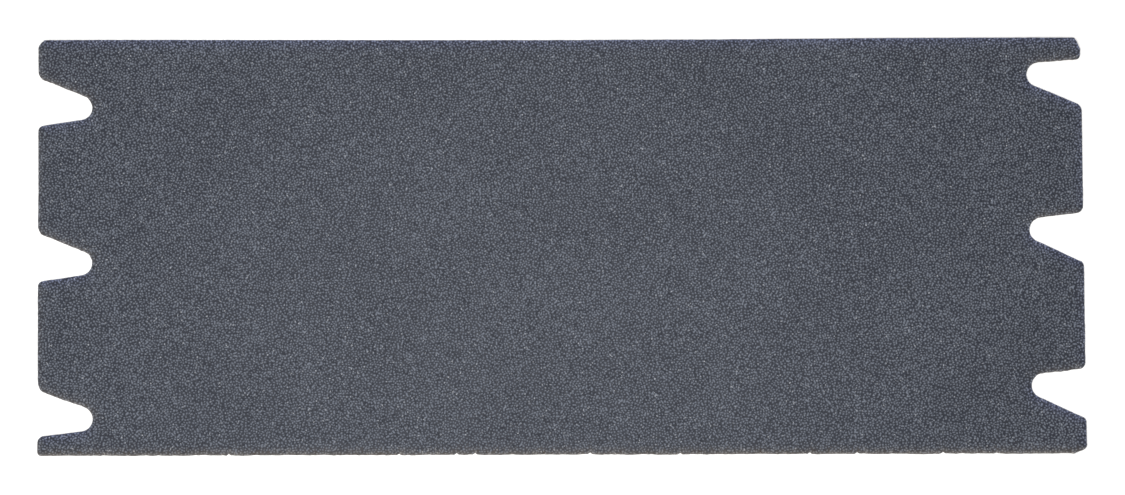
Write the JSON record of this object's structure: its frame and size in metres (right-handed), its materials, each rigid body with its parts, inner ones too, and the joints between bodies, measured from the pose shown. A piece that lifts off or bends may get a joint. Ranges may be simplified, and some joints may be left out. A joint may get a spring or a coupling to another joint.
{
  "type": "floor sander abrasive sheet",
  "caption": "Flat rectangular abrasive sheet with rows of tapered notches in both ends, for wrapping and clamping round the drum of a floor sander.",
  "frame": {"origin": "middle of the plain back face, which lies on whatever the sheet rests on", "axes": "+X along the sheet's length, +Y across its width, +Z out of the back face towards the abrasive face"},
  "size_m": [0.5112, 0.2032, 0.001],
  "materials": {
    "kraft_paper": "matt, fibrous",
    "make_resin": "satin",
    "silicon_carbide": "rough, with small bright facets",
    "size_resin": "satin"
  },
  "bodies": {
    "root": {"backing_paper": "kraft_paper", "make_coat": "make_resin", "abrasive_grain": "silicon_carbide", "size_coat": "size_resin"}
  },
  "joints": []
}
